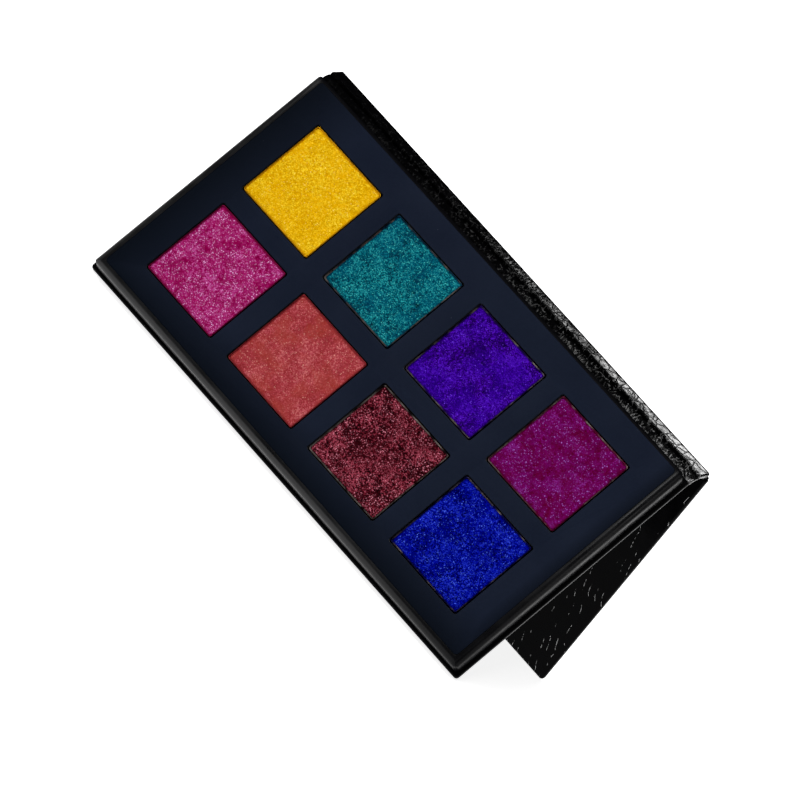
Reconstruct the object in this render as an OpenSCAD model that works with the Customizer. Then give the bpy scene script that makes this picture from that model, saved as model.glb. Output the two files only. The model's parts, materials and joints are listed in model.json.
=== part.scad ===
// Book-style eyeshadow palette with eight square pans, standing open as a tent.
//
// A hard back cover, a narrow spine and a hard lid are joined by two flexible
// gutters. The back cover carries a moulded tray with the pans. The lid is
// folded back behind the tray, so the palette stands on two long free edges.
// X runs along the hinges, +Z is up and the shades face -Y.

/* [Pans] */
// Outer side of each square pan
pan_w = 26; // [24:0.5:27]
// Height of a pan
pan_h = 4.4; // [3.8:0.1:4.4]
// Thickness of the pan metal
pan_wall = 0.35; // [0.25:0.05:0.5]
// Corner radius of a pan
pan_r = 0.8; // [0.6:0.1:1.2]
// Depth of the pressed powder's surface below the pan rim
powder_drop = 0.2; // [0.1:0.05:0.5]
// Distance between pan centres along the hinge
pitch_x = 33; // [32:0.2:34]
// Distance between pan centres across the tray
pitch_y = 32.6; // [31.8:0.2:33]

/* [Tray] */
// Tray wall outside the end pans, along the hinge
end_margin = 11; // [10:0.5:14]
// Tray wall outside the pans, across the tray
side_margin = 9.45; // [9:0.05:12]
// Height of the tray
tray_h = 5.6; // [5.6:0.1:6.4]
// Thickness of the tray floor under the pans
tray_floor = 0.8; // [0.6:0.1:0.8]
// Radius along the tray's top outer edge, on the free side and the ends
rim_r = 2; // [0.6:0.1:2]
// Width of the rim beside the face card, on the free side and the ends
rim_w = 2.3; // [2.1:0.1:3]
// Radius along the tray's top outer edge, on the hinge side
hinge_rim_r = 0.6; // [0.4:0.1:0.6]
// Width of the rim beside the face card, on the hinge side
hinge_rim_w = 1; // [0.9:0.1:3]
// Thickness of the face card
card_t = 0.4; // [0.3:0.05:0.5]

/* [Covers] */
// Thickness of the grey board in the covers and spine
board_t = 1.2; // [1:0.1:1.4]
// Thickness of the leatherette wrap
wrap_t = 0.25; // [0.2:0.05:0.3]
// Thickness of the paper that lines the lid
liner_t = 0.2; // [0.15:0.05:0.25]
// Ledge of cover that shows around the tray
ledge = 1; // [0.5:0.1:2]
// Corner radius of the covers
cover_r = 1; // [0.5:0.1:1.5]
// Width of the wrap that is turned in over the boards
hem_w = 12; // [8:1:16]

/* [Stance] */
// How far the spine is folded back from the plane of the back cover
spine_fold = 60; // [50:1:75]
// How far the lid is folded back from the plane of the spine
lid_fold = 80; // [70:1:85]

/* [Magnets] */
// Diameter of the closure magnets
magnet_d = 6; // [4:0.5:6]
// Thickness of the magnets in the tray
tray_magnet_t = 2; // [1:0.5:3]
// Thickness of the magnets in the lid
lid_magnet_t = 1; // [0.5:0.1:1]

/* [Hidden] */
$fn = 64;
eps = 0.01;                    // overshoot of a cut past a face
fit_gap = 0.1;                 // clearance around the face card
well_gap = 0.3;                // clearance around each pan in the tray
window_gap = 0.4;              // clearance around each pan in the face card
close_gap = 0.2;               // clearance between the closed lid and the tray
spine_gap = 0.3;               // clearance between the closed spine and the tray
pad_t = 0.2;                   // glue pad under each pan
pad_d = 18;
magnet_inset = 5.2;            // magnet centre from the tray's free wall
liner_inset = 2.5;             // liner edge from the lid's edges

shades = ["yellow", "teal", "purple", "magenta", "pink", "coral", "maroon", "blue"];
shade_colors = ["#dcac0e", "#0f5a68", "#320883", "#640e50",
                "#9a3268", "#9f3f43", "#5a222c", "#0b1281"];
cols = 4;
rows = 2;

cover_t = board_t + 2 * wrap_t;                        // a wrapped cover without its liner
gutter = cover_t + 0.1;                                // hinge axis to the board beside it
axis_to_tray = cover_t + spine_gap;                    // hinge axis to the tray wall
spine_w = cover_t + tray_h + cover_t + liner_t + close_gap;   // first to second hinge axis
tray_l = (cols - 1) * pitch_x + pan_w + 2 * end_margin;
tray_w = (rows - 1) * pitch_y + pan_w + 2 * side_margin;
tray_y = -axis_to_tray - tray_w / 2;                   // tray centre in the back frame
tray_top = cover_t + tray_h;
cover_l = tray_l + 2 * ledge;
cover_w = tray_w + ledge + axis_to_tray - gutter;      // free edge to the gutter
cover_reach = gutter + cover_w;                        // hinge axis to the free edge
card_z = tray_top - card_t;
pan_z = cover_t + tray_floor + pad_t;
magnet_x = pitch_x;
magnet_y = axis_to_tray + tray_w - magnet_inset;       // from either hinge axis

// A point [y, z] turned by a degrees about the hinge direction
function turned(p, a) = [p[0] * cos(a) - p[1] * sin(a), p[0] * sin(a) + p[1] * cos(a)];
// A point of the lid frame in the back frame
function lid_point(p) = turned(turned(p, -lid_fold) + [spine_w, 0], -spine_fold);

back_foot = [-cover_reach, 0];
lid_foot = lid_point([cover_reach, 0]);
feet = lid_foot - back_foot;
lean = atan2(-feet[1], feet[0]);                       // slope of the tray from the floor
rim_centre = turned([tray_y - tray_w / 2 + rim_r, tray_top - rim_r], lean);
front_y = rim_centre[0] - rim_r;
rear_y = turned(lid_point([cover_reach, cover_t]), lean)[0];
stance = [0, -(front_y + rear_y) / 2, -turned(back_foot, lean)[1]];

// ---- frames: y = 0 on the hinge axis, z = 0 on the outer face ----

module back_frame() {
    translate(stance) rotate([lean, 0, 0]) children();
}

module spine_frame() {
    back_frame() rotate([-spine_fold, 0, 0]) children();
}

module lid_frame() {
    spine_frame() translate([0, spine_w, 0]) rotate([-lid_fold, 0, 0]) children();
}

// ---- shapes that repeat ----

// Flat plate centred on x, from y0 to y1, with all four corners rounded
module plate(l, y0, y1, z, t, r) {
    w = y1 - y0;
    translate([0, (y0 + y1) / 2, z])
        linear_extrude(t) {
            square([l, w - 2 * r], center = true);
            square([l - 2 * r, w], center = true);
            for (sx = [-1, 1], sy = [-1, 1])
                translate([sx * (l / 2 - r), sy * (w / 2 - r)]) circle(r);
        }
}

// Flat plate with square corners
module sheet(l, y0, y1, z, t) {
    translate([-l / 2, y0, z]) cube([l, y1 - y0, t]);
}

// Plate with square corners at the hinge and rounded corners at the free edge
module cover_plate(l, reach, z, t, r) {
    sheet(l, gutter, reach - r, z, t);
    sheet(l - 2 * r, gutter, reach, z, t);
    for (sx = [-1, 1])
        translate([sx * (l / 2 - r), reach - r, z]) cylinder(r = r, h = t);
}

module cover_board(magnet_pockets = false) {
    difference() {
        cover_plate(cover_l - 2 * wrap_t, cover_reach - wrap_t, wrap_t, board_t, cover_r - wrap_t);
        if (magnet_pockets)
            magnet_pair(wrap_t + board_t - lid_magnet_t, lid_magnet_t + eps);
    }
}

// Leatherette over the outer face, round three edges and turned in as a hem
module cover_wrap() {
    difference() {
        cover_plate(cover_l, cover_reach, 0, cover_t, cover_r);
        translate([0, 0, wrap_t]) {
            cover_plate(cover_l - 2 * wrap_t, cover_reach - wrap_t, 0, board_t, cover_r - wrap_t);
            sheet(cover_l - 2 * wrap_t, gutter - 1, gutter + 1, 0, board_t);
        }
        sheet(cover_l - 2 * hem_w, gutter - 1, cover_reach - hem_w, wrap_t + board_t - eps, 1);
    }
}

// Strip of lining glued along a board's hinge edge, between the hems
module edge_lining() {
    sheet(cover_l - 2 * hem_w, gutter, gutter + hem_w, wrap_t + board_t, wrap_t);
}

module magnet_pair(z, t) {
    for (sx = [-1, 1])
        translate([sx * magnet_x, magnet_y, z]) cylinder(d = magnet_d, h = t);
}

// Wrap and lining bonded together across a gutter that is folded back by fold
module bent_strip(fold) {
    r = gutter / tan(fold / 2);
    t = 2 * wrap_t;
    reach = 2 * (r + t);
    translate([-cover_l / 2, -gutter, -r])
        rotate([90, 0, 90])
            linear_extrude(cover_l)
                intersection() {
                    difference() {
                        circle(r + t);
                        circle(r);
                    }
                    polygon([[0, 0], [0, reach], [reach * tan(fold / 2), reach],
                             [reach * sin(fold), reach * cos(fold)]]);
                }
}

// One copy of the children at each pan's place
module at_pan(i) {
    col = i % cols;
    row = floor(i / cols);
    translate([(col - (cols - 1) / 2) * pitch_x,
               tray_y + ((rows - 1) / 2 - row) * pitch_y, 0])
        children();
}

module pan_plate(w, z, t, r) {
    plate(w, -w / 2, w / 2, z, t, r);
}

// ---- back cover and tray ----

module back_board() {
    color("#8d8a84") back_frame() mirror([0, 1, 0]) cover_board();
}

module back_wrap() {
    color("#151517") back_frame() mirror([0, 1, 0]) cover_wrap();
}

module back_lining() {
    color("#151517") back_frame() mirror([0, 1, 0]) edge_lining();
}

// Double-sided sheet that fills the window inside the hems
module tray_adhesive() {
    color("#e8e2cf") back_frame() mirror([0, 1, 0])
        sheet(cover_l - 2 * hem_w, gutter + hem_w, cover_reach - hem_w,
              wrap_t + board_t, wrap_t);
}

// Section of the tray across a span w, with its two top edges rounded by r0 and r1
module tray_section(w, r0, r1) {
    translate([-w / 2, 0]) square([w / 2, tray_h - r0]);
    square([w / 2, tray_h - r1]);
    translate([-w / 2 + r0, 0]) square([w - r0 - r1, tray_h]);
    translate([-w / 2 + r0, tray_h - r0]) circle(r0);
    translate([w / 2 - r1, tray_h - r1]) circle(r1);
}

module tray_block() {
    translate([0, tray_y, cover_t])
        intersection() {
            rotate([90, 0, 90]) translate([0, 0, -tray_l / 2])
                linear_extrude(tray_l) tray_section(tray_w, rim_r, hinge_rim_r);
            rotate([90, 0, 0]) translate([0, 0, -tray_w / 2])
                linear_extrude(tray_w) tray_section(tray_l, rim_r, rim_r);
            plate(tray_l, -tray_w / 2, tray_w / 2, 0, tray_h, cover_r + 0.5);
        }
}

module card_outline(gap, z, t) {
    inset = rim_w - gap;
    plate(tray_l - 2 * inset, tray_y - tray_w / 2 + inset,
          tray_y + tray_w / 2 - hinge_rim_w + gap, z, t, cover_r);
}

module tray() {
    color("#0c0c0e") back_frame()
        difference() {
            tray_block();
            card_outline(fit_gap, card_z, card_t + 1);
            for (i = [0 : cols * rows - 1])
                at_pan(i) pan_plate(pan_w + 2 * well_gap, cover_t + tray_floor, tray_h, pan_r);
            mirror([0, 1, 0]) magnet_pair(card_z - tray_magnet_t, tray_magnet_t + eps);
        }
}

module tray_magnets() {
    color("#b9bcc0") back_frame() mirror([0, 1, 0])
        magnet_pair(card_z - tray_magnet_t, tray_magnet_t);
}

module pan_glue_pads() {
    color("#d8d4c4") back_frame()
        for (i = [0 : cols * rows - 1])
            at_pan(i) translate([0, 0, cover_t + tray_floor]) cylinder(d = pad_d, h = pad_t);
}

// Printed card with a window over each pan
module face_card() {
    color("#1a202d") back_frame()
        difference() {
            card_outline(0, card_z, card_t);
            for (i = [0 : cols * rows - 1])
                at_pan(i) pan_plate(pan_w + 2 * window_gap, card_z - 1, card_t + 2, pan_r);
        }
}

// Pressed metal pan, open at the top
module pan(i) {
    color("#c9ccd0") back_frame() at_pan(i)
        difference() {
            pan_plate(pan_w, pan_z, pan_h, pan_r);
            pan_plate(pan_w - 2 * pan_wall, pan_z + pan_wall, pan_h, pan_r - pan_wall);
        }
}

// Pressed powder that fills a pan to just below its rim
module powder(i) {
    color(shade_colors[i]) back_frame() at_pan(i)
        pan_plate(pan_w - 2 * pan_wall, pan_z + pan_wall,
                  pan_h - pan_wall - powder_drop, pan_r - pan_wall);
}

// ---- spine and its two gutters ----

module back_hinge_strip() {
    color("#1d1d20") back_frame() bent_strip(spine_fold);
}

module spine_board() {
    color("#8d8a84") spine_frame()
        sheet(cover_l - 2 * wrap_t, gutter, spine_w - gutter, wrap_t, board_t);
}

// Outer face of the spine, turned in over its two ends
module spine_wrap() {
    color("#151517") spine_frame()
        difference() {
            sheet(cover_l, gutter, spine_w - gutter, 0, cover_t);
            sheet(cover_l - 2 * wrap_t, 0, spine_w, wrap_t, board_t);
            sheet(cover_l - 2 * hem_w, 0, spine_w, wrap_t + board_t - eps, 1);
        }
}

module spine_lining() {
    color("#1d1d20") spine_frame()
        sheet(cover_l - 2 * hem_w, gutter, spine_w - gutter, wrap_t + board_t, wrap_t);
}

module lid_hinge_strip() {
    color("#1d1d20") spine_frame() translate([0, spine_w, 0]) bent_strip(lid_fold);
}

// ---- lid ----

module lid_board() {
    color("#8d8a84") lid_frame() cover_board(magnet_pockets = true);
}

module lid_wrap() {
    color("#151517") lid_frame() cover_wrap();
}

module lid_lining() {
    color("#1d1d20") lid_frame() edge_lining();
}

module lid_magnets() {
    color("#b9bcc0") lid_frame()
        magnet_pair(wrap_t + board_t - lid_magnet_t, lid_magnet_t);
}

// Paper liner over the hems, pressed down into the window between them
module lid_liner() {
    color("#101012") lid_frame() {
        plate(cover_l - 2 * liner_inset, gutter + liner_inset, cover_reach - liner_inset,
              cover_t, liner_t, cover_r);
        sheet(cover_l - 2 * hem_w, gutter + hem_w, cover_reach - hem_w,
              wrap_t + board_t, wrap_t + liner_t / 2);
    }
}

back_board();
back_wrap();
back_lining();
tray_adhesive();
tray();
tray_magnets();
pan_glue_pads();
face_card();
for (i = [0 : cols * rows - 1]) pan(i);
for (i = [0 : cols * rows - 1]) powder(i);
back_hinge_strip();
spine_board();
spine_wrap();
spine_lining();
lid_hinge_strip();
lid_board();
lid_wrap();
lid_lining();
lid_magnets();
lid_liner();
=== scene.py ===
"""Looks of the open eyeshadow palette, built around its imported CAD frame.

Lengths are in millimetres in each panel's own frame, where y = 0 is the hinge
axis, y grows towards the free edge and z = 0 is the outer face of the cover.
"""

import json
import math

import bmesh
import bpy
import numpy as np
from mathutils import Matrix, Vector


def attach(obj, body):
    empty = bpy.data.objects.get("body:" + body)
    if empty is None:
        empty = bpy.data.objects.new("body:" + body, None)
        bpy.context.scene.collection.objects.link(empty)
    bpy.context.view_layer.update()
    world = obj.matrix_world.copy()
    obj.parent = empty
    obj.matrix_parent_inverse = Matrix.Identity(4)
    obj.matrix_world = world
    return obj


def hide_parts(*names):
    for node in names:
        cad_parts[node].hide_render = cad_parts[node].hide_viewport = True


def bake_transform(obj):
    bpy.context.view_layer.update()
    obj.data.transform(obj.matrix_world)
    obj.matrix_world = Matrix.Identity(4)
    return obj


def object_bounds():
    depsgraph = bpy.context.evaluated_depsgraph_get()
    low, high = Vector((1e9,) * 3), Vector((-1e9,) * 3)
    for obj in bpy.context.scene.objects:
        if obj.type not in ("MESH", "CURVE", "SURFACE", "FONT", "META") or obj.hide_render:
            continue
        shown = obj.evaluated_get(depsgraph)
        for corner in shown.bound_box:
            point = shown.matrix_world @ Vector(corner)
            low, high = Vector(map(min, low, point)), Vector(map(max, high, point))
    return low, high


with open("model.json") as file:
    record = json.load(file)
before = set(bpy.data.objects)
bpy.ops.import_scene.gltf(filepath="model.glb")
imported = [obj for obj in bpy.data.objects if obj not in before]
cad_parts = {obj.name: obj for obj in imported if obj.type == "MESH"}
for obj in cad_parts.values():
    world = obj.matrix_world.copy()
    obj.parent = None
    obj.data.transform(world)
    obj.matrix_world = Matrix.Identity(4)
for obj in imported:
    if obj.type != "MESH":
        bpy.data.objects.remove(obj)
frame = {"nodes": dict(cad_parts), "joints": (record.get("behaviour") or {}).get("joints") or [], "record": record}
cad_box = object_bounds()

MM = 0.001
SHADES = ["yellow", "teal", "purple", "magenta", "pink", "coral", "maroon", "blue"]

# Camera: a long lens, rolled so that the palette runs down to the right
CAMERA_AZIMUTH = 16.7
CAMERA_ELEVATION = 13.2
CAMERA_ROLL = 44.2
CAMERA_DISTANCE = 1.574
CAMERA_LENS = 270
CAMERA_SENSOR = 36
CAMERA_REACH = 20
FRAMING_RIGHT = -3.8
FRAMING_UP = -7.3

# Light
SKY_TOP = 1.3
SKY_HORIZON = 0.1
SKY_LOW = 42          # the sky brightens between these elevations
SKY_HIGH = 74
KEY_STRENGTH = 2.4
KEY_ANGLE = 34
KEY_FROM = (-0.62, -0.1, 0.8)
# Each softbox: place, width and height in metres, and power in watts
SOFTBOXES = {
    "right_strip": ((1.3, -0.35, 0.25), 0.35, 0.9, 2.5),
    "rear_box": ((-0.03, 0.42, 0.32), 0.16, 0.13, 0.38),
    "front_box": ((0.02, -0.5, 0.66), 0.3, 0.3, 1.8),
}
LIGHT_TARGET = (0, 0, 0.04)
FLOOR_HALF = 4.0
FLOOR_GLOW = 0.85

# Covers
LIP = 0.12            # skin folded over a board's hinge edge
SKIN_EDGE = 0.5       # rounding where the skin turns over a board
SKIN_CORNER = 1.0     # rounding of a cover's outline
HEM = 12.0            # width of the skin turned in over a board
PUCKER = 0.07         # depth and size of the broad unevenness of the covers
PUCKER_SIZE = 5.0
COVER_CREASE = 0.04   # depth of the creases in the covers, and their distance
COVER_CREASE_SIZE = 4.5
CREASE = 0.11         # depth of the wrinkles and creases in the linings
WRINKLE_SIZE = 2.6
CREASE_SIZE = 2.0
CREASE_STRETCH = 0.3  # the linings are creased across: less change away from the hinge
LINER_SINK = 0.09     # how far the liner sinks where there is no hem under it
LINER_SLOPE = 0.8     # width of the step where it sinks
LINER_WAVE = 0.02
LINER_WAVE_SIZE = 9.0
LINER_EDGE = 0.08
LINER_CORNER = 1.0

# Tray, card and pans: rounding of their moulded and punched edges
TRAY_EASE = 0.12
CARD_EASE = 0.08
PAN_EASE = 0.11

# Powders
POWDER_CORNER = 0.75
POWDER_EDGE = 0.12
POWDER_RIM = 0.3      # the mesh is finer within this of the edge
MOUND = 0.045         # heights and sizes of the unevenness of the pressed face
MOUND_SIZE = 3.4
RIPPLE = 0.035
RIPPLE_SIZE = 0.7
ROUGHENING = 0.02
PIT_DEPTH = 0.16
PIT_SPACING = 1.7
PIT_SMALLEST = 0.12   # pits are this wide, in their spacing, plus up to PIT_RANGE
PIT_RANGE = 0.5
PIT_SHARE = 0.07      # share of the places for pits that hold one
BORDER_DROP = 0.06    # how far and how widely the face is worn down at its edge
BORDER_WIDTH = 0.6
LOWEST = -0.3         # the relief stays between these
HIGHEST = 0.09
RELIEF_FADE = 0.15    # the relief fades out within this of the edge

# Grids of the meshes
SKIN_STEP = 0.75
LINING_STEP = 0.3
LINER_STEP = 1.0
POWDER_STEP = 0.14
RIM_STEPS = 5
WALL_STEPS = 3
BEND_STEPS = 14
EASE_STEPS = 3
SHARP = 40            # edges turned by more than these angles stay sharp
SKIN_SHARP = 60
EASED_SHARP = 35


# ---------------------------------------------------------------- frames

class Panel:
    """A flat panel's frame: x along the hinge, y away from it, z out of its inner face."""

    def __init__(self, origin, x, z):
        self.origin = np.array(origin, float)
        x = np.array(x, float)
        z = np.array(z, float) / np.linalg.norm(z)
        self.axes = np.array([x, np.cross(z, x), z])

    def to_row(self, points):
        """Points in this frame as points in the CAD's frame, in metres."""
        return self.origin + (np.asarray(points) * MM) @ self.axes

    def from_row(self, points):
        """Points in the CAD's frame as points in this frame."""
        return (np.asarray(points) - self.origin) @ self.axes.T / MM

    def box(self, node):
        """Lowest and highest corner of a CAD node in this frame."""
        vertices = frame["nodes"][node].data.vertices
        points = np.empty(len(vertices) * 3, np.float32)
        vertices.foreach_get("co", points)
        points = self.from_row(points.reshape(-1, 3))
        return points.min(0), points.max(0)


joints = {j["name"]: np.array(j["pos_m"]) for j in frame["joints"]}
outward = {m["name"]: np.array(m["axis"]) for m in frame["record"]["mounts"]}
spine_axis = joints["spine_hinge"]
lid_axis = joints["lid_hinge"]
ALONG = np.array([1.0, 0.0, 0.0])

back = Panel(spine_axis, -ALONG, -outward["back_face"])
lid = Panel(lid_axis, ALONG, -outward["lid_face"])
spine = Panel(spine_axis, ALONG, np.cross(ALONG, lid_axis - spine_axis))
spine_end = Panel(lid_axis, ALONG, np.cross(ALONG, lid_axis - spine_axis))
back_end = Panel(spine_axis, ALONG, -outward["back_face"])

board_low = back.box("back_board")[0]
wrap_high = back.box("back_wrap")[1]
GUTTER = board_low[1]
WRAP = board_low[2]
COVER_T = wrap_high[2]
HALF_LENGTH = wrap_high[0]
COVER_REACH = wrap_high[1]
SPINE_W = np.linalg.norm(lid_axis - spine_axis) / MM


# ---------------------------------------------------------------- repeatable noise

def lattice(ix, iy, seed):
    """A repeatable number from 0 to 1 for each whole-number point. The big odd factors
    and the shifts only scramble the bits."""
    mask = np.int64(0xFFFFFFFF)
    h = (ix * 374761393 + iy * 668265263 + seed * 974634777) & mask
    h = ((h ^ (h >> 13)) * 1274126177) & mask
    h = ((h ^ (h >> 15)) * 2246822519) & mask
    return (h ^ (h >> 16)) / float(mask)


def noise(p, size, seed):
    """Smooth noise from -1 to 1 with features about size across."""
    q = p / size
    cell = np.floor(q).astype(np.int64)
    f = q - cell
    f = f * f * (3 - 2 * f)
    x, y = cell[:, 0], cell[:, 1]
    low = lattice(x, y, seed) * (1 - f[:, 0]) + lattice(x + 1, y, seed) * f[:, 0]
    high = lattice(x, y + 1, seed) * (1 - f[:, 0]) + lattice(x + 1, y + 1, seed) * f[:, 0]
    return 2 * (low * (1 - f[:, 1]) + high * f[:, 1]) - 1


def fractal(p, size, seed, octaves=3):
    """Smooth noise from -1 to 1 with finer and fainter noise on top."""
    shift = 17.3
    total = np.zeros(len(p))
    for k in range(octaves):
        total += noise(p + shift * k, size / 2 ** k, seed + k) / 2 ** k
    return total / (2 - 2 ** (1 - octaves))


def cells(p, size, seed):
    """Distances to the nearest and second nearest of scattered points, and the random
    number of the nearest."""
    q = p / size
    base = np.floor(q).astype(np.int64)
    far = 9.0
    nearest = np.full(len(p), far)
    second = np.full(len(p), far)
    number = np.zeros(len(p))
    for dx in (-1, 0, 1):
        for dy in (-1, 0, 1):
            x = base[:, 0] + dx
            y = base[:, 1] + dy
            px = x + lattice(x, y, seed)
            py = y + lattice(x, y, seed + 1)
            d = np.hypot(q[:, 0] - px, q[:, 1] - py)
            closer = d < nearest
            second = np.where(closer, nearest, np.minimum(second, d))
            number = np.where(closer, lattice(x, y, seed + 2), number)
            nearest = np.where(closer, d, nearest)
    return nearest, second, number


def creases(p, size, seed):
    """Crease lines, 1 on the line and 0 away from it, that wander and fade in and out."""
    wander, width, presence = 0.35, 0.16, 0.6
    warp = np.stack([noise(p, size * 0.7, seed + 5), noise(p, size * 0.7, seed + 6)], 1)
    nearest, second, _ = cells(p + wander * size * warp, size, seed)
    line = np.exp(-((second - nearest) / width) ** 2)
    return line * np.clip(presence + fractal(p, size * 2, seed + 9, 2), 0, 1)


# ---------------------------------------------------------------- slabs and shells

def grid_lines(length, rim, step):
    """Places, from 0 to 1, of the grid lines along a side: finer within rim of both ends."""
    fine = rim * np.linspace(0, 1, RIM_STEPS + 1)
    count = max(1, round((length - 2 * rim) / step))
    middle = np.linspace(rim, length - rim, count + 1)
    return np.concatenate([fine[:-1], middle, length - fine[-2::-1]]) / length


def face_points(rect, z, side, corner, edge, lines, square):
    """One face of a slab. side is 1 for the top and -1 for the bottom; square says
    which of the two y ends keep square corners and sharp edges."""
    x0, y0, x1, y1 = rect
    u, v = np.meshgrid(*lines, indexing="ij")
    p = np.stack([x0 + u * (x1 - x0), y0 + v * (y1 - y0)], -1).reshape(-1, 2)
    low = np.array([x0 + corner, y0 - 1 if square[0] else y0 + corner])
    high = np.array([x1 - corner, y1 + 1 if square[1] else y1 - corner])
    inner = np.clip(p, low, high)
    offset = p - inner
    reach = np.abs(offset).max(1)
    length = np.linalg.norm(offset, axis=1)
    out = offset / np.maximum(length, 1e-9)[:, None]
    inside = corner - reach
    turn = (1 - np.clip(inside / edge, 0, 1)) * math.pi / 2
    inset = np.where(inside < edge, edge * (1 - np.sin(turn)), inside)
    xy = inner + out * (corner - inset)[:, None] * (length > 1e-9)[:, None]
    drop = edge * (1 - np.cos(turn)) * (length > 1e-9)
    return np.column_stack([xy, z - side * drop])


def ring_of(grid):
    """The outline of a grid of indices, once round, anticlockwise seen from +z."""
    return np.concatenate([grid[:-1, 0], grid[-1, :-1], grid[:0:-1, -1], grid[0, :0:-1]])


def band(lower, upper):
    """Quads between two rings of indices."""
    return np.column_stack([lower, np.roll(lower, -1), np.roll(upper, -1), upper])


def slab(rect, z0, z1, corner, edge, lines, square=(False, False), plain_bottom=False):
    """A plate with rounded outline and edges. Returns its points, quads, other faces
    and the number of points of its top face, which come first."""
    shape = (len(lines[0]), len(lines[1]))
    top = face_points(rect, z1, 1, corner, edge, lines, square)
    bottom = face_points(rect, z0, -1, corner, edge, lines, square)
    grid = np.arange(len(top)).reshape(shape)
    faces = np.column_stack([a.ravel() for a in
                             (grid[:-1, :-1], grid[1:, :-1], grid[1:, 1:], grid[:-1, 1:])])
    ring = ring_of(grid)
    quads = [faces]
    polygons = []
    if plain_bottom:
        bottom = bottom[ring]
        low_ring = len(top) + np.arange(len(ring))
        polygons.append(low_ring[::-1].tolist())
    else:
        low_ring = len(top) + ring
        quads.append(len(top) + faces[:, ::-1])
    points = [top, bottom]
    lower = low_ring
    start = top[ring] * 1.0
    start[:, 2] = z0 + edge * (start[:, 2] < z1 - edge / 2)
    count = len(top) + len(bottom)
    for k in range(1, WALL_STEPS):
        share = k / WALL_STEPS
        level = top[ring] * 1.0
        level[:, 2] = start[:, 2] * (1 - share) + level[:, 2] * share
        points.append(level)
        upper = count + np.arange(len(ring))
        count += len(ring)
        quads.append(band(lower, upper))
        lower = upper
    quads.append(band(lower, ring))
    return np.concatenate(points), np.concatenate(quads), polygons, len(top)


def shell(outer, inner, quads, window):
    """A skin between two slabs of the same grid, open where window is true of a quad."""
    kept = quads[~window(outer[quads].mean(1))]
    pairs = np.concatenate([kept[:, [i, (i + 1) % 4]] for i in range(4)])
    there = {tuple(p) for p in pairs.tolist()}
    rim = np.array([p for p in sorted(there) if (p[1], p[0]) not in there])
    size = len(outer)
    closing = np.column_stack([rim[:, 1], rim[:, 0], rim[:, 0] + size, rim[:, 1] + size])
    points = np.concatenate([outer, inner])
    faces = np.concatenate([kept, kept[:, ::-1] + size, closing])
    used = np.unique(faces)
    renumber = np.zeros(len(points), int)
    renumber[used] = np.arange(len(used))
    return points[used], renumber[faces]


def placed(name, data):
    """A new object, put in the scene."""
    made = bpy.data.objects.new(name, data)
    bpy.context.scene.collection.objects.link(made)
    return made


def finished(name, mesh, look, sharp):
    """A smooth-shaded object of a mesh, with one material."""
    mesh.materials.append(look)
    mesh.shade_smooth()
    mesh.set_sharp_from_angle(angle=math.radians(sharp))
    return placed(name, mesh)


def piece(name, panel, points, faces, look, polygons=(), body=None, sharp=SHARP):
    """A mesh object from points in a panel's frame."""
    mesh = bpy.data.meshes.new(name)
    mesh.from_pydata(panel.to_row(points).tolist(), [], faces.tolist() + list(polygons))
    made = finished(name, mesh, look, sharp)
    if body:
        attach(made, body)
    return made


def eased(node, name, look, body, radius):
    """A copy of a CAD node with its sharp edges rounded off, shown in its place."""
    mesh = bpy.data.meshes.new(name)
    work = bmesh.new()
    work.from_mesh(frame["nodes"][node].data)
    bmesh.ops.remove_doubles(work, verts=work.verts, dist=1e-6)
    bmesh.ops.dissolve_limit(work, angle_limit=math.radians(0.5), verts=work.verts,
                             edges=work.edges)
    sharp = [e for e in work.edges if e.calc_face_angle(0) > math.radians(EASED_SHARP)]
    bmesh.ops.bevel(work, geom=sharp, offset=radius * MM, offset_type="OFFSET",
                    segments=EASE_STEPS, profile=0.5, affect="EDGES", clamp_overlap=True)
    work.to_mesh(mesh)
    work.free()
    mesh.materials.clear()
    made = finished(name, mesh, look, EASED_SHARP)
    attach(made, body)
    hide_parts(node)


# ---------------------------------------------------------------- materials

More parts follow.
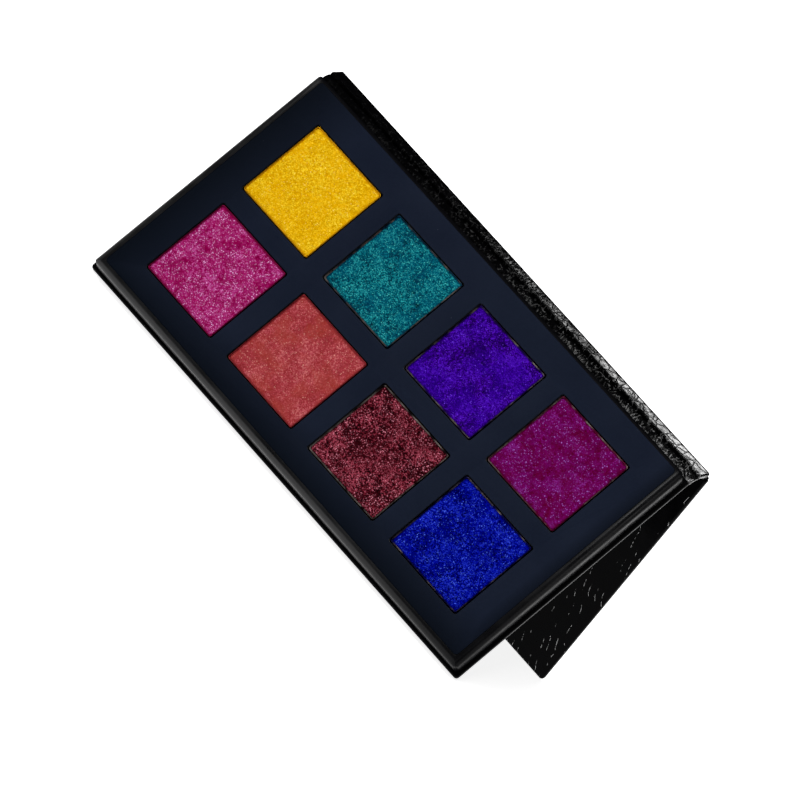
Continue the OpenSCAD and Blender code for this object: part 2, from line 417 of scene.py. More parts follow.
class Look:
    """A material's node tree, with short calls for the nodes that the looks share."""

    def __init__(self, name, colour, roughness, metallic=0.0, specular=0.5):
        self.material = bpy.data.materials.new(name)
        self.material.use_nodes = True
        self.tree = self.material.node_tree
        self.shader = self.tree.nodes["Principled BSDF"]
        self.set("Base Color", (*colour, 1))
        self.set("Roughness", roughness)
        self.set("Metallic", metallic)
        self.set("Specular IOR Level", specular)
        self.place = self.node("ShaderNodeTexCoord").outputs["Object"]

    def set(self, socket, value):
        """Puts a constant or another node's output on one of the shader's sockets."""
        self.feed(self.shader.inputs[socket], value)

    def feed(self, target, value):
        """Links an output to a socket, or sets the socket to a constant."""
        if isinstance(value, bpy.types.NodeSocket):
            self.tree.links.new(value, target)
        else:
            target.default_value = value

    def node(self, kind, inputs=(), **settings):
        """A new node, with its settings and what goes into its sockets."""
        made = self.tree.nodes.new(kind)
        for key, value in settings.items():
            setattr(made, key, value)
        for key, value in dict(inputs).items():
            self.feed(made.inputs[key], value)
        return made

    def stretched(self, x, y, z):
        """The place on the object, squeezed along each axis."""
        return self.vector("MULTIPLY", self.place, (x, y, z))

    def moved(self, x, y, z):
        """The place on the object, moved along, for a second pattern unlike the first."""
        return self.vector("ADD", self.place, (x, y, z))

    def along(self, panel, axis, start):
        """How far a point lies past start along one of a panel's axes."""
        direction = panel.axes[axis]
        dot = self.node("ShaderNodeVectorMath", {0: self.place, 1: tuple(direction / MM)},
                        operation="DOT_PRODUCT").outputs["Value"]
        return self.math("SUBTRACT", dot, float(panel.origin @ direction) / MM + start)

    def noise(self, size, detail=3, place=None, output="Fac"):
        """Smooth noise, around 0.5, with features about size across."""
        return self.node("ShaderNodeTexNoise",
                         {"Vector": place or self.place, "Scale": 1 / (size * MM),
                          "Detail": detail}).outputs[output]

    def cell(self, size, place=None, feature="F1"):
        """Scattered points about size apart, each with its own random colour."""
        return self.node("ShaderNodeTexVoronoi",
                         {"Vector": place or self.place, "Scale": 1 / (size * MM)},
                         feature=feature)

    def numbers(self, cell):
        """Three random numbers from 0 to 1 for each scattered point."""
        return self.node("ShaderNodeSeparateColor", {0: cell.outputs["Color"]}).outputs

    def net(self, size, place, inner, outer):
        """Lines half-way between scattered points: 1 within inner, 0 beyond outer."""
        edge = self.cell(size, place, "DISTANCE_TO_EDGE").outputs["Distance"]
        return self.fit(edge, inner, outer, 1.0, 0.0)

    def vector(self, operation, a, b=(0.0, 0.0, 0.0)):
        return self.node("ShaderNodeVectorMath", {0: a, 1: b}, operation=operation).outputs[0]

    def scaled(self, vector, amount):
        return self.node("ShaderNodeVectorMath", {0: vector, "Scale": amount},
                         operation="SCALE").outputs[0]

    def math(self, operation, a, b=0.0, c=0.0):
        return self.node("ShaderNodeMath", {0: a, 1: b, 2: c}, operation=operation).outputs[0]

    def product(self, *values):
        """The values multiplied together."""
        total = values[0]
        for value in values[1:]:
            total = self.math("MULTIPLY", total, value)
        return total

    def fit(self, value, low, high, to_low=0.0, to_high=1.0):
        """Takes low..high to to_low..to_high, and no further."""
        return self.node("ShaderNodeMapRange", {0: value, 1: low, 2: high, 3: to_low,
                                                4: to_high}).outputs[0]

    def mix(self, share, a, b):
        """Colour a where share is 0, b where it is 1."""
        made = self.node("ShaderNodeMix", data_type="RGBA")
        self.feed(made.inputs[0], share)
        for socket, value in ((made.inputs[6], a), (made.inputs[7], b)):
            self.feed(socket, (*value, 1) if isinstance(value, tuple) else value)
        return made.outputs[2]

    def ramp(self, value, stops):
        """A colour from a list of places and colours."""
        made = self.node("ShaderNodeValToRGB", {0: value})
        elements = made.color_ramp.elements
        while len(elements) < len(stops):
            elements.new(0.5)
        for element, (place, colour) in zip(elements, stops):
            element.position = place
            element.color = (*colour, 1)
        return made.outputs[0]

    def bump(self, height, depth):
        """Raises the surface by up to depth."""
        return self.node("ShaderNodeBump", {"Height": height, "Distance": depth * MM,
                                            "Strength": 1.0}).outputs["Normal"]

    def attribute(self, name):
        return self.node("ShaderNodeAttribute", attribute_name=name).outputs["Fac"]


NAVY = (20, 26, 40)


def linear(red, green, blue):
    """A screen colour, 0 to 255, as the linear colour that shaders take."""
    return tuple(((c / 255 + 0.055) / 1.055) ** 2.4 if c > 10 else c / 255 / 12.92
                 for c in (red, green, blue))


# Each shade: dark, middle and bright grains, the tint of its patches and the colour of
# its sparks (pale flakes, partly painted glints), then how much the patches, the mottling
# and the single grains vary, how far the tint goes, the share and strength of the sparks,
# how much they gather in clusters, the haze over the clusters, how much they gather near
# the pan's edge, and the tilt of the flakes.
POWDERS = {
    "yellow": dict(dark=(204, 144, 0), mid=(226, 173, 3), bright=(248, 212, 44),
                   tint=(234, 172, 0), spark=(255, 240, 140), patch=0.2, mottle=0.35,
                   grain=0.75, tinted=0.3, sparks=0.3, strength=0.7, cluster=0.1,
                   haze=0.0, outward=0.0, tilt=0.16),
    "teal": dict(dark=(4, 36, 56), mid=(0, 72, 90), bright=(18, 122, 132),
                 tint=(0, 74, 102), spark=(84, 218, 208), patch=0.6, mottle=0.45,
                 grain=1.05, tinted=0.4, sparks=0.72, strength=0.9, cluster=0.15,
                 haze=0.1, outward=0.0, tilt=0.2),
    "purple": dict(dark=(18, 0, 58), mid=(43, 0, 108), bright=(62, 2, 158),
                   tint=(44, 0, 146), spark=(120, 64, 240), patch=0.95, mottle=0.55,
                   grain=1.2, tinted=0.4, sparks=0.52, strength=0.9, cluster=0.1,
                   haze=0.1, outward=0.0, tilt=0.18),
    "magenta": dict(dark=(76, 0, 36), mid=(96, 0, 60), bright=(110, 10, 100),
                    tint=(92, 0, 40), spark=(166, 104, 206), patch=1, mottle=0.45,
                    grain=0.9, tinted=0.6, sparks=0.66, strength=0.9, cluster=0.5,
                    haze=0.6, outward=0.06, tilt=0.18),
    "pink": dict(dark=(124, 0, 60), mid=(142, 4, 76), bright=(168, 40, 116),
                 tint=(154, 6, 80), spark=(244, 188, 240), patch=0.9, mottle=0.8,
                 grain=1.1, tinted=0.3, sparks=1.08, strength=1, cluster=0.75,
                 haze=0.5, outward=0.04, tilt=0.2),
    "coral": dict(dark=(138, 40, 44), mid=(152, 46, 54), bright=(185, 81, 89),
                  tint=(158, 60, 46), spark=(236, 172, 156), patch=0.65, mottle=0.35,
                  grain=0.9, tinted=0.5, sparks=0.48, strength=0.75, cluster=0.15,
                  haze=0.2, outward=0.0, tilt=0.16),
    "maroon": dict(dark=(10, 0, 2), mid=(48, 5, 11), bright=(116, 28, 44),
                   tint=(46, 4, 8), spark=(246, 148, 170), patch=1.25, mottle=0.7,
                   grain=1.5, tinted=0.4, sparks=0.95, strength=0.95, cluster=0.5,
                   haze=0.15, outward=0.1, tilt=0.3),
    "blue": dict(dark=(0, 0, 54), mid=(0, 2, 110), bright=(6, 17, 162),
                 tint=(0, 8, 146), spark=(84, 116, 250), patch=0.85, mottle=0.5,
                 grain=1.15, tinted=0.3, sparks=0.68, strength=0.95, cluster=0.3,
                 haze=0.15, outward=0.03, tilt=0.2),
}
# How much of each powder is pitted
PITS = {"yellow": 0, "teal": 0.3, "purple": 0.6, "magenta": 0.1, "pink": 0,
        "coral": 0, "maroon": 0.4, "blue": 0.4}
# How much powder lies on each pan's rim
DUST = {"yellow": 0.95, "teal": 0.5, "purple": 0.5, "magenta": 0.55, "pink": 0.95,
        "coral": 0.9, "maroon": 0.35, "blue": 0.6}
GRAIN = 0.27          # spacing of the grains
SPARK = 0.42          # spacing of the flakes that may spark
PATCH = 5.0           # size of the patches, of the mottling and of the clusters
MOTTLE = 0.8
CLUSTER = 1.7


def blended(a, b, share):
    """A screen colour that share of the way from a to b."""
    return [x * (1 - share) + y * share for x, y in zip(a, b)]


def powder_look(shade, dark, mid, bright, tint, spark, patch, mottle, grain, tinted,
                sparks, strength, cluster, haze, outward, tilt):
    """Pressed shimmer powder: fine tilted flakes in patches, with clusters of sparks
    painted pale, partly the flakes' own colour and partly painted glints.
    """
    look = Look("shimmer_" + shade, linear(*mid), 0.4, metallic=0.3, specular=0.0)
    # the grains' colour, in patches, with painted shade along the lowered border by the pan
    border = look.attribute("border")
    grains = look.cell(GRAIN)
    random = look.numbers(grains)
    value = 0.5
    for variation, amount in ((look.noise(PATCH, 2), 2 * patch),
                              (look.noise(MOTTLE, 3), 2 * mottle), (random[0], grain)):
        value = look.math("MULTIPLY_ADD", look.math("SUBTRACT", variation, 0.5), amount,
                          value)
    glow = linear(*blended(bright, spark, 0.3))
    colour = look.ramp(value, [(0.05, linear(*dark)), (0.5, linear(*mid)),
                               (0.9, linear(*bright)), (1.0, glow)])
    wide = look.noise(6.0, 2, look.moved(0.031, 0.017, 0.005))
    colour = look.mix(look.fit(wide, 0.44, 0.62, 0, tinted), colour, linear(*tint))
    colour = look.mix(look.fit(border, 0, 1, 0, 0.6), colour,
                      linear(*blended(dark, mid, 0.45)))

    # where the sparks gather, and the haze there
    gather = look.noise(CLUSTER, 3, look.moved(0.011, 0.047, 0.023))
    gather = look.fit(gather, 0.34, 0.66, -cluster, cluster)
    from_middle = look.fit(look.attribute("spread"), 0.35, 0.95, -1, 1)
    gather = look.math("MULTIPLY_ADD", from_middle, outward, gather)
    gather = look.math("SUBTRACT", gather, border)
    colour = look.mix(look.fit(gather, -cluster, cluster, 0, haze), colour, linear(*bright))

    # the sparks, each round and brightest in its middle: pale flakes, partly the flakes' own lighter colour and
    # partly painted glints
    flakes = look.cell(SPARK, look.moved(0.007, 0.003, 0.011))
    chance = look.numbers(flakes)
    there = look.fit(look.math("ADD", chance[0], gather), 1 - sparks, 1.05, 0, 1)
    there = look.math("POWER", there, 1.4)
    radius = look.fit(chance[1], 0, 1, 0.24, 0.6)
    near = look.fit(look.math("DIVIDE", flakes.outputs["Distance"], radius), 0.4, 1.0, 1, 0)
    pale = look.mix(look.math("POWER", chance[2], 2.0), linear(*spark), glow)
    colour = look.mix(look.product(there, near, strength), colour, pale)

    # painted shade in the pits and other low places, and a tilt for each grain
    sunk = look.fit(look.attribute("relief"), -0.2, -0.04, 0.8, 0.0)
    colour = look.mix(sunk, colour, linear(*[c * 0.35 for c in dark]))
    look.set("Base Color", colour)
    look.set("Roughness", look.fit(random[2], 0, 1, 0.35, 0.6))
    tip = look.vector("SUBTRACT", grains.outputs["Color"], (0.5, 0.5, 0.5))
    tip = look.scaled(tip, tilt * 2)
    normal = look.node("ShaderNodeNewGeometry").outputs["Normal"]
    look.set("Normal", look.vector("NORMALIZE", look.vector("ADD", normal, tip)))
    return look.material


LEATHER_BLACK = (0.0011, 0.0011, 0.0013)


def patent_look():
    """Black patent leatherette with short curved cracks and a few pinholes, dented in
    and painted pale: painted glints where they catch the light.
    """
    look = Look("patent_leatherette", LEATHER_BLACK, 0.2, specular=0.035)
    # cracks: dashes of parallel, slanting, bent lines, where the noise lets them be
    slant, bend, gap = 0.36, 5.0, 2.3
    across = look.math("MULTIPLY_ADD", look.along(lid, 1, 0.0), -slant, look.along(lid, 0, 0.0))
    across = look.math("ADD", across, look.math("MULTIPLY", look.noise(9.0, 2), bend))
    lines = look.math("FRACT", look.math("DIVIDE", across, gap))
    line = look.fit(look.math("ABSOLUTE", look.math("SUBTRACT", lines, 0.5)), 0.015, 0.04,
                    1.0, 0.0)
    there = look.fit(look.noise(3.6, 1, look.moved(0.007, 0.003, 0.009)), 0.58, 0.62)
    dashes = look.fit(look.noise(0.7, 1), 0.44, 0.62)
    # pinholes, then both only on the outer faces of the covers
    holes = look.cell(3.0)
    radius = look.fit(look.numbers(holes)[0], 0.55, 1.0, 0.0, 0.06)
    hole = look.math("LESS_THAN", holes.outputs["Distance"], radius)
    cracks_and_glints = look.math("MAXIMUM", look.product(line, there, dashes), hole)
    depths = [look.math("ABSOLUTE", look.along(panel, 2, 0.0)) for panel in (back, lid)]
    outside = look.fit(look.math("MINIMUM", *depths), 0.25, 0.5, 1.0, 0.0)
    cracks_and_glints = look.product(cracks_and_glints, outside, 0.9)
    wrinkles = look.math("MULTIPLY", look.noise(1.6, 4), 0.3)
    # the cracks and pinholes are painted pale on the outer faces: painted glints, over dents in the bump
    look.set("Base Color", look.mix(cracks_and_glints, LEATHER_BLACK, (0.85, 0.85, 0.85)))
    look.set("Roughness", look.fit(look.noise(3.0, 4), 0.3, 0.7, 0.14, 0.3))
    look.set("Normal", look.bump(look.math("MULTIPLY_ADD", cracks_and_glints, -1.0, wrinkles), 0.1))
    return look.material


def creased_look():
    """The same leatherette where it is thin and folded: a net of creases that grows
    denser, deeper and paler towards the right-hand end, the pale strokes partly rubbed
    wear and partly a painted highlight."""
    look = Look("creased_leatherette", LEATHER_BLACK, 0.2)
    # a coarse and a fine net of folds, on lines that wander
    place = look.stretched(1.0, 0.5, 0.5)
    wander = look.scaled(look.noise(2.2, 2, place, "Color"), 1.4 * MM)
    wandering = look.vector("ADD", place, wander)
    folds = look.net(2.6, wandering, 0.0, 0.1)
    fine = look.net(1.2, wandering, 0.0, 0.12)
    height = look.math("MULTIPLY_ADD", folds, -1.0, look.math("MULTIPLY", fine, -0.3))
    height = look.math("MULTIPLY_ADD", look.noise(1.6, 2, place), 0.12, height)
    x = look.along(lid, 0, 0.0)
    depth = look.fit(x, -HALF_LENGTH, HALF_LENGTH * 0.5, 0.35, 1.0)
    look.set("Normal", look.bump(look.math("MULTIPLY", height, depth), 0.08))
    look.set("Roughness", look.fit(look.noise(1.5, 2), 0.35, 0.65, 0.12, 0.26))

    # the gloss grows towards the right, in blotches, and is dull in the folds and shoulder
    shine = look.math("POWER", look.fit(x, -0.3 * HALF_LENGTH, HALF_LENGTH, 0.2, 1.0), 2.2)
    blotch = look.fit(look.noise(6.0, 1), 0.44, 0.56, 0.12, 1.0)
    end = look.fit(x, 0.86 * HALF_LENGTH, 0.96 * HALF_LENGTH, 0.0, 1.0)
    shoulder = look.fit(look.along(spine, 1, SPINE_W - GUTTER), -1.9, -0.9, 1.0, 0.0)
    gutter = look.fit(look.along(spine, 1, GUTTER), -0.6, 0.3, 0.75, 1.0)
    uncreased = look.math("SUBTRACT", 1.0, look.math("MULTIPLY", folds, 0.8))
    shine = look.product(shine, look.math("MAXIMUM", blotch, end), shoulder, gutter,
                         uncreased, 0.55)
    look.set("Specular IOR Level", shine)

    # strokes painted pale, more towards the right-hand end: partly rubbed wear and partly a painted highlight
    strokes = look.net(1.0, wandering, 0.04, 0.1)
    some = look.fit(look.noise(1.3, 2), 0.52, 0.64)
    wear_and_highlight = look.math("POWER", look.fit(x, -HALF_LENGTH, HALF_LENGTH, 0.15, 1.0), 2.5)
    look.set("Base Color", look.mix(look.product(strokes, some, wear_and_highlight), LEATHER_BLACK,
                                    (0.26, 0.26, 0.26)))
    return look.material


def tray_look():
    """Glossy black moulding with faint handling smears, duller along its hinge side and
    near its free right-hand corner."""
    black = (0.0025, 0.0025, 0.003)
    look = Look("gloss_black_plastic", black, 0.2, specular=0.25)
    smear = look.noise(9.0, 4, look.stretched(0.5, 1.4, 1.0))
    look.set("Base Color", look.mix(look.fit(smear, 0.5, 0.8, 0, 0.5), black,
                                    (0.006, 0.006, 0.007)))
    look.set("Roughness", look.fit(smear, 0.3, 0.7, 0.26, 0.42))
    look.set("Normal", look.bump(look.noise(0.7, 2), 0.01))
    low, high = back.box("tray")
    from_right = look.along(back, 0, low[0])
    from_corner = look.math("SUBTRACT", from_right, look.along(back, 1, high[1]))
    look.set("Specular IOR Level",
             look.product(0.3, look.fit(look.along(back, 1, low[1]), 0.5, 1.6),
                          look.fit(from_right, 0.5, 2.5, 0.5, 1.0),
                          look.fit(from_corner, 4.0, 50.0, 0.3, 1.0)))
    return look.material


def card_look():
    """Navy soft-touch card with a faint fibre, a few specks of powder and pale scuffs, and
    painted shade that deepens it towards black near its free side, its ends and the rim."""
    look = Look("soft_touch_navy", linear(*NAVY), 0.6, specular=0.02)
    low, high = back.box("face_card")
    fibre = look.noise(0.5, 3)
    cloud = look.noise(14.0, 3)
    darker, lighter, fibres = (linear(*[c + step for c in NAVY]) for step in (-2, 2, 10))
    base = look.mix(look.fit(cloud, 0.3, 0.7, 0, 1), darker, lighter)
    base = look.mix(look.fit(fibre, 0.35, 0.75, 0, 0.2), base, fibres)
    speck = look.cell(1.3)
    radius = look.fit(look.numbers(speck)[0], 0.965, 1.0, 0.0, 0.09)
    dot = look.math("LESS_THAN", speck.outputs["Distance"], radius)
    base = look.mix(look.math("MULTIPLY", dot, 0.4), base, linear(120, 128, 140))
    scuff = look.fit(look.noise(1.6, 1, look.stretched(0.25, 1.0, 1.0)), 0.80, 0.86, 0, 1)
    base = look.mix(look.math("MULTIPLY", scuff, 0.4), base, linear(70, 78, 90))
    from_free = look.math("MULTIPLY", look.along(back, 1, high[1]), -1.0)
    from_left = look.math("MULTIPLY", look.along(back, 0, high[0]), -1.0)
    from_right = look.along(back, 0, low[0])
    # painted shade: the navy darkens towards black near the free side, both ends and the rim
    painted_shade = 0.0
    for distance, start, end, most in ((from_free, 0.3, 12.0, 0.85),
                                       (from_left, 0.3, 18.0, 0.9),
                                       (from_right, 0.3, 3.5, 0.6),
                                       (from_free, 0.2, 0.7, 0.95)):
        painted_shade = look.math("MAXIMUM", painted_shade, look.fit(distance, start, end, most, 0))
    look.set("Base Color", look.mix(painted_shade, base, linear(5, 9, 16)))
    look.set("Roughness", look.fit(fibre, 0.3, 0.7, 0.5, 0.68))
    look.set("Normal", look.bump(fibre, 0.012))
    return look.material


def tin_look(shade, dust):
    """Pressed tinplate with fine drawing lines, dusted with its own powder."""
    look = Look("tinplate_" + shade, (0.2, 0.18, 0.16), 0.3, metallic=0.9)
    stain = look.fit(look.noise(4.0, 2), 0.4, 0.65, 0, 1)
    metal = look.mix(stain, (0.16, 0.135, 0.12), (0.07, 0.05, 0.045))
    dusted = look.fit(look.noise(3.0, 2), 0.7 - dust * 0.7, 0.8 - dust * 0.5, 0, 1)
    look.set("Base Color", look.mix(dusted, metal, linear(*POWDERS[shade]["dark"])))
    look.set("Roughness", look.fit(look.noise(0.4, 3), 0.3, 0.7, 0.22, 0.45))
    look.set("Normal", look.bump(look.noise(0.25, 2, look.stretched(0.1, 1, 1)), 0.008))
    return look.material


def board_look():
    """Grey board: flecked recycled fibre."""
    look = Look("recycled_board", linear(140, 137, 131), 0.9, specular=0.2)
    tone = look.numbers(look.cell(0.7))[0]
    look.set("Base Color", look.ramp(tone, [(0.05, linear(96, 92, 86)),
                                            (0.2, linear(138, 135, 129)),
                                            (0.9, linear(156, 152, 145))]))
    look.set("Normal", look.bump(look.noise(0.4, 4), 0.05))
    return look.material


def liner_look():
    """Black uncoated paper with a laid fibre grain."""
    look = Look("black_paper", (0.012, 0.012, 0.013), 0.62, specular=0.25)
    fibre = look.noise(0.35, 4, look.stretched(0.35, 1, 1))
    cloud = look.noise(11.0, 3)
    look.set("Base Color", look.mix(look.fit(fibre, 0.4, 0.8, 0, 0.6),
                                    (0.007, 0.007, 0.008), (0.018, 0.018, 0.020)))
    look.set("Roughness", look.fit(cloud, 0.3, 0.7, 0.5, 0.72))
    look.set("Normal", look.bump(fibre, 0.02))
    return look.material


def adhesive_look():
    """Milky double-sided film with trapped bubbles."""
    look = Look("milky_adhesive", linear(226, 220, 200), 0.35)
    bubble = look.fit(look.cell(2.4).outputs["Distance"], 0.05, 0.3, 1, 0)
    look.set("Base Color", look.mix(bubble, linear(228, 222, 204), linear(196, 188, 166)))
    look.set("Normal", look.bump(bubble, 0.03))
    return look.material


def nickel_look():
    """Nickel plate with fine scratches."""
    nickel = (0.62, 0.61, 0.58)
    look = Look("nickel", nickel, 0.25, metallic=1.0)
    scratch = look.noise(0.3, 4, look.stretched(0.08, 1, 1))
    look.set("Base Color", look.mix(look.fit(scratch, 0.4, 0.7, 0, 1), nickel,
                                    (0.45, 0.44, 0.42)))
    look.set("Roughness", look.fit(scratch, 0.3, 0.7, 0.18, 0.4))
    return look.material


# ---------------------------------------------------------------- pieces

def add_powder(number, shade):
    """Pressed powder with grain, soft mounds, a worn border and a few pits."""
    low, high = back.box("powder_" + shade)
    half = (high[0] - low[0]) / 2
    line = grid_lines(2 * half, POWDER_RIM, POWDER_STEP)
    rect = (low[0], low[1], high[0], high[1])
    points, quads, polygons, count = slab(rect, low[2], high[2], POWDER_CORNER, POWDER_EDGE,
                                          (line, line), plain_bottom=True)
    seed = 100 * (number + 1)
    flat = points[:count, :2]
    middle = (low[:2] + high[:2]) / 2
    edge = np.abs(flat - middle).max(1) / half
    nearest, _, chosen = cells(flat, PIT_SPACING, seed + 40)
    pit_size = PIT_SMALLEST + PIT_RANGE * lattice((chosen * 997).astype(np.int64), 1, 7)
    pit = np.clip(1 - nearest / pit_size, 0, 1)
    pit *= chosen > 1 - PIT_SHARE * PITS[shade]
    relief = MOUND * fractal(flat, MOUND_SIZE, seed)
    relief += RIPPLE * fractal(flat, RIPPLE_SIZE, seed + 10, 2)
    grain = lattice(*(flat / POWDER_STEP).astype(np.int64).T, seed + 20)
    relief += ROUGHENING * (grain - 0.5)
    relief -= PIT_DEPTH * np.sqrt(pit)
    border = np.clip((edge - 1) * half / BORDER_WIDTH + 1, 0, 1) ** 2
    relief -= BORDER_DROP * border
    relief = np.clip(relief, LOWEST, HIGHEST)
    fade = np.clip((1 - edge) * half / RELIEF_FADE, 0, 1)
    points[:count, 2] += relief * fade
    made = piece("shadow_" + shade, back, points, quads,
                 powder_look(shade, **POWDERS[shade]), polygons, "back")
    for attribute, values in (("relief", relief), ("border", border), ("spread", edge)):
        stored = np.ones(len(points), np.float32) * (attribute == "border")
        stored[:count] = values
        made.data.attributes.new(attribute, "FLOAT", "POINT").data.foreach_set("value", stored)
    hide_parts("powder_" + shade)


def press(points, count, depth):
    """Presses both faces of a slab, whose points come first, inwards by depth."""
    points[:count, 2] -= depth[:count]
    points[count:2 * count, 2] += depth[count:2 * count]


def add_skin(name, panel, look, body, nodes, seed):
    """Leatherette over a cover: outer face, rounded edges, hem, and hinge-edge lip."""
    rect = (-HALF_LENGTH, GUTTER - LIP, HALF_LENGTH, COVER_REACH)
    inner_rect = (-HALF_LENGTH + WRAP, GUTTER, HALF_LENGTH - WRAP, COVER_REACH - WRAP)
    lines = (grid_lines(2 * HALF_LENGTH, SKIN_CORNER, SKIN_STEP),
             grid_lines(COVER_REACH - rect[1], SKIN_CORNER, SKIN_STEP))
    square = (True, False)
    outer, quads, _, count = slab(rect, 0, COVER_T, SKIN_CORNER, SKIN_EDGE, lines, square)
    inner = slab(inner_rect, WRAP, COVER_T - WRAP, SKIN_CORNER - WRAP, SKIN_EDGE - WRAP,
                 lines, square)[0]
    depth = PUCKER * (0.5 + 0.5 * fractal(outer[:, :2], PUCKER_SIZE, seed))
    depth += COVER_CREASE * creases(outer[:, :2], COVER_CREASE_SIZE, seed + 30)
    press(outer, count, depth)

    def window(centre):
        return ((np.abs(centre[:, 0]) < HALF_LENGTH - HEM) & (centre[:, 1] > GUTTER + HEM)
                & (centre[:, 1] < COVER_REACH - HEM) & (centre[:, 2] > COVER_T / 2))

    points, faces = shell(outer, inner, quads, window)
    made = piece(name, panel, points, faces, look, body=body, sharp=SKIN_SHARP)
    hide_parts(*nodes)


def lining_relief(p, seed):
    """Wrinkles that run across the spine, with a few crossing creases."""
    across = p * np.array([1.0, CREASE_STRETCH])
    depth = 0.5 * CREASE * (0.5 + 0.5 * fractal(across, WRINKLE_SIZE, seed, 2))
    return depth + 0.5 * CREASE * creases(across, CREASE_SIZE, seed + 20)


def add_spine(look):
    """The spine's wrap and lining, closed round its board."""
    rect = (-HALF_LENGTH, GUTTER - LIP, HALF_LENGTH, SPINE_W - GUTTER + LIP)
    inner_rect = (-HALF_LENGTH + WRAP, GUTTER, HALF_LENGTH - WRAP, SPINE_W - GUTTER)
    lines = (grid_lines(2 * HALF_LENGTH, SKIN_EDGE, LINING_STEP),
             grid_lines(rect[3] - rect[1], SKIN_EDGE, LINING_STEP))
    outer, quads, _, count = slab(rect, 0, COVER_T, SKIN_EDGE, SKIN_EDGE, lines)
    inner = slab(inner_rect, WRAP, COVER_T - WRAP, SKIN_EDGE - WRAP, SKIN_EDGE - WRAP,
                 lines)[0]
    inset = np.minimum(outer[:, 1] - rect[1], rect[3] - outer[:, 1])
    depth = lining_relief(outer[:, :2], 900) * np.clip(inset / SKIN_EDGE, 0, 1)
    press(outer, count, depth)
    points = np.concatenate([outer, inner])
    faces = np.concatenate([quads, quads[:, ::-1] + len(outer)])
    skin = piece("spine_skin", spine, points, faces, look, body="spine", sharp=SKIN_SHARP)
    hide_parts("spine_wrap", "spine_lining")


def add_strip(name, panel, angle, node, look, seed):
    """Wrap and lining bonded together round a gutter, wrinkled across the bend."""
    radius = GUTTER / math.tan(angle / 2)
    thick = 2 * WRAP
    along = np.linspace(-HALF_LENGTH, HALF_LENGTH, round(2 * HALF_LENGTH / LINING_STEP) + 1)
    turn = np.linspace(0, angle, BEND_STEPS)
    section = np.concatenate([np.column_stack([turn, np.full(BEND_STEPS, radius + thick)]),
                              np.column_stack([turn[::-1], np.full(BEND_STEPS, radius)])])
    x = np.repeat(along, len(section))
    turns = np.tile(section[:, 0], len(along))
    radii = np.tile(section[:, 1], len(along))
    inside = radii > radius + thick / 2
    depth = lining_relief(np.column_stack([x, turns * radius]), seed)
    fade = np.sin(np.clip(turns / angle, 0, 1) * math.pi) ** 0.5
    radii = radii + np.where(inside, -1, 1) * depth * fade
    points = np.column_stack([x, -GUTTER + radii * np.sin(turns),
                              -radius + radii * np.cos(turns)])
    size = len(section)
    first = np.arange(len(along) - 1)[:, None] * size + np.arange(size)[None, :]
    after = np.roll(first, -1, axis=1)
    faces = np.column_stack([first.ravel(), after.ravel(), (after + size).ravel(),
                             (first + size).ravel()])
    caps = [list(range(size))[::-1], list(range(len(points) - size, len(points)))]
    strip = piece(name, panel, points, faces, look, caps, sharp=SKIN_SHARP)
    start = panel.to_row([0, -GUTTER, 0])
    end = panel.to_row([0, GUTTER * math.cos(angle), -GUTTER * math.sin(angle)])
    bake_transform(strip)
    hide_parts(node)


def add_liner(look):
    """Paper over the lid's hems, sunk a little where the hems end."""
    low, high = lid.box("lid_liner")
    rect = (low[0], low[1], high[0], high[1])
    lines = (grid_lines(high[0] - low[0], LINER_CORNER, LINER_STEP),
             grid_lines(high[1] - low[1], LINER_CORNER, LINER_STEP))
    points, quads, polygons, count = slab(rect, COVER_T, high[2], LINER_CORNER, LINER_EDGE,
                                          lines, plain_bottom=True)
    flat = points[:count, :2]
    inset = np.minimum(HALF_LENGTH - HEM - np.abs(flat[:, 0]),
                       np.minimum(flat[:, 1] - GUTTER - HEM, COVER_REACH - HEM - flat[:, 1]))
    sunk = 0.5 + 0.5 * np.tanh(inset / LINER_SLOPE)
    wave = 1 + fractal(flat, LINER_WAVE_SIZE, 700, 2)
    points[:count, 2] -= LINER_SINK * sunk + LINER_WAVE * wave
    made = piece("lid_paper_liner", lid, points, quads, look, polygons, "lid")
    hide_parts("lid_liner")


def angle_between(a, b):
    """The angle between two unit vectors."""
    return math.acos(float(np.clip(a @ b, -1, 1)))


cover_leather = patent_look()
lining_leather = creased_look()

add_skin("back_cover_skin", back, cover_leather, "back", ["back_wrap", "back_lining"], 300)
add_skin("lid_skin", lid, cover_leather, "lid", ["lid_wrap", "lid_lining"], 500)
add_spine(lining_leather)
spine_fold = angle_between(back_end.axes[1], spine.axes[1])
lid_fold = angle_between(spine.axes[1], lid.axes[1])
add_strip("back_gutter", back_end, spine_fold, "back_hinge_strip",
          lining_leather, 910)
add_strip("lid_gutter", spine_end, lid_fold, "lid_hinge_strip",
          lining_leather, 930)
add_liner(liner_look())

eased("tray", "pan_tray", tray_look(), "back", TRAY_EASE)
eased("face_card", "navy_face_card", card_look(), "back", CARD_EASE)
for number, shade in enumerate(SHADES):
    eased("pan_" + shade, "tin_" + shade, tin_look(shade, DUST[shade]), "back",
          PAN_EASE)
    add_powder(number, shade)

kept_looks = {
    board_look(): ("back_board", "spine_board", "lid_board"),
    adhesive_look(): ("tray_adhesive", "pan_glue_pads"),
    nickel_look(): ("tray_magnets", "lid_magnets"),
}
for look, names in kept_looks.items():
    for name in names:
        for holder in frame["nodes"][name].material_slots:
            holder.material = look


# ---------------------------------------------------------------- floor, light, camera

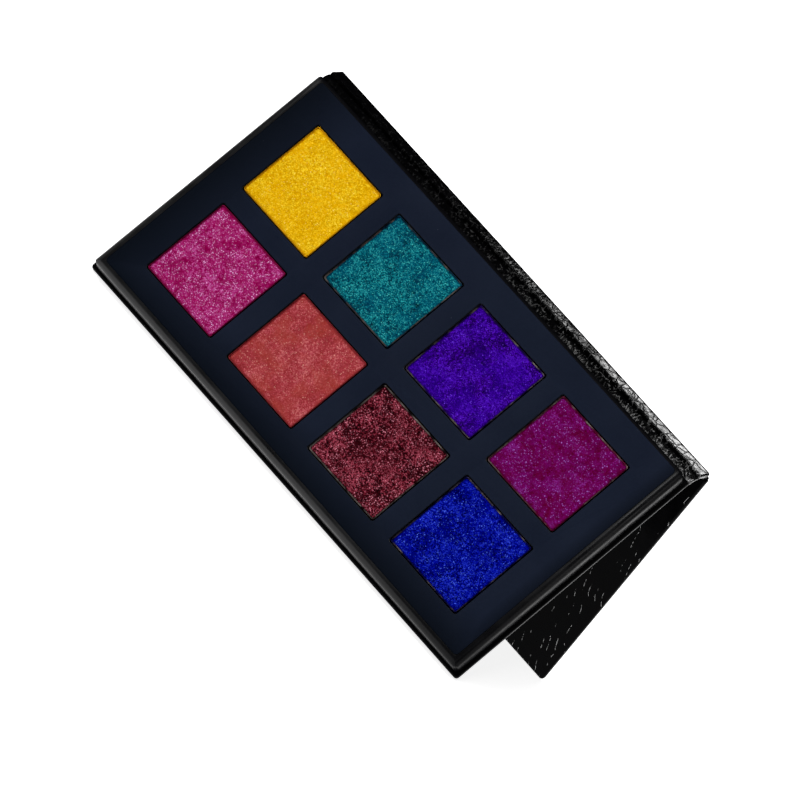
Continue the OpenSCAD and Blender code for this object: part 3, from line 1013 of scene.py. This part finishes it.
def add_floor():
    """A big plain pale floor with a little light of its own, like a light table's."""
    look = Look("pale_floor", (0.86, 0.86, 0.86), 0.9, specular=0.1)
    look.set("Emission Color", (1, 1, 1, 1))
    look.set("Emission Strength", FLOOR_GLOW)
    mesh = bpy.data.meshes.new("floor")
    corners = [(-FLOOR_HALF, -FLOOR_HALF, 0), (FLOOR_HALF, -FLOOR_HALF, 0),
               (FLOOR_HALF, FLOOR_HALF, 0), (-FLOOR_HALF, FLOOR_HALF, 0)]
    mesh.from_pydata(corners, [], [(0, 1, 2, 3)])
    mesh.materials.append(look.material)
    floor = placed("floor", mesh)


def add_world():
    """A soft sky, bright overhead and dim at the horizon; the camera sees plain white."""
    world = bpy.data.worlds.new("studio")
    world.use_nodes = True
    tree = world.node_tree
    background = tree.nodes["Background"]
    place = tree.nodes.new("ShaderNodeTexCoord")
    split = tree.nodes.new("ShaderNodeSeparateXYZ")
    tree.links.new(place.outputs["Generated"], split.inputs[0])
    rise = tree.nodes.new("ShaderNodeMapRange")
    rise.interpolation_type = "SMOOTHSTEP"
    rise.inputs["From Min"].default_value = math.sin(math.radians(SKY_LOW))
    rise.inputs["From Max"].default_value = math.sin(math.radians(SKY_HIGH))
    rise.inputs["To Min"].default_value = SKY_HORIZON
    rise.inputs["To Max"].default_value = SKY_TOP
    tree.links.new(split.outputs["Z"], rise.inputs["Value"])
    rays = tree.nodes.new("ShaderNodeLightPath")
    seen = tree.nodes.new("ShaderNodeMix")
    tree.links.new(rays.outputs["Is Camera Ray"], seen.inputs[0])
    tree.links.new(rise.outputs[0], seen.inputs[2])
    seen.inputs[3].default_value = 1.0
    tree.links.new(seen.outputs[0], background.inputs["Strength"])
    bpy.context.scene.world = world


def aimed(name, data, place):
    """Puts a light at a place and turns it to the palette."""
    lamp = placed(name, data)
    lamp.location = place
    ray = Vector(LIGHT_TARGET) - Vector(place)
    lamp.rotation_euler = ray.to_track_quat("-Z", "Y").to_euler()


def add_softbox(name, place, width, height, power):
    """A rectangular light, aimed at the palette."""
    data = bpy.data.lights.new(name, "AREA")
    data.shape = "RECTANGLE"
    data.size = width
    data.size_y = height
    data.energy = power
    aimed(name, data, place)


def add_lights():
    """A broad, soft key light from the left, and the softboxes."""
    key = bpy.data.lights.new("key", "SUN")
    key.energy = KEY_STRENGTH
    key.angle = math.radians(KEY_ANGLE)
    aimed("key", key, KEY_FROM)
    for name, (place, width, height, power) in SOFTBOXES.items():
        add_softbox(name, place, width, height, power)


def add_camera():
    """A camera that circles the palette's middle, rolled and moved to frame it."""
    azimuth = math.radians(CAMERA_AZIMUTH)
    elevation = math.radians(CAMERA_ELEVATION)
    roll = math.radians(CAMERA_ROLL)
    towards = Vector((math.sin(azimuth) * math.cos(elevation),
                      -math.cos(azimuth) * math.cos(elevation), math.sin(elevation)))
    level = Vector((math.cos(azimuth), math.sin(azimuth), 0))
    upright = towards.cross(level)
    right = level * math.cos(roll) + upright * math.sin(roll)
    up = upright * math.cos(roll) - level * math.sin(roll)
    centre = (cad_box[0] + cad_box[1]) / 2
    aim = centre + right * FRAMING_RIGHT * MM + up * FRAMING_UP * MM
    data = bpy.data.cameras.new("camera")
    data.lens = CAMERA_LENS
    data.sensor_width = CAMERA_SENSOR
    data.clip_end = CAMERA_REACH
    camera = placed("camera", data)
    turn = Matrix((right, up, towards)).transposed().to_4x4()
    camera.matrix_world = Matrix.Translation(aim + towards * CAMERA_DISTANCE) @ turn
    bpy.context.scene.camera = camera


add_floor()
add_world()
add_lights()
add_camera()
bpy.context.scene.view_settings.view_transform = "Standard"
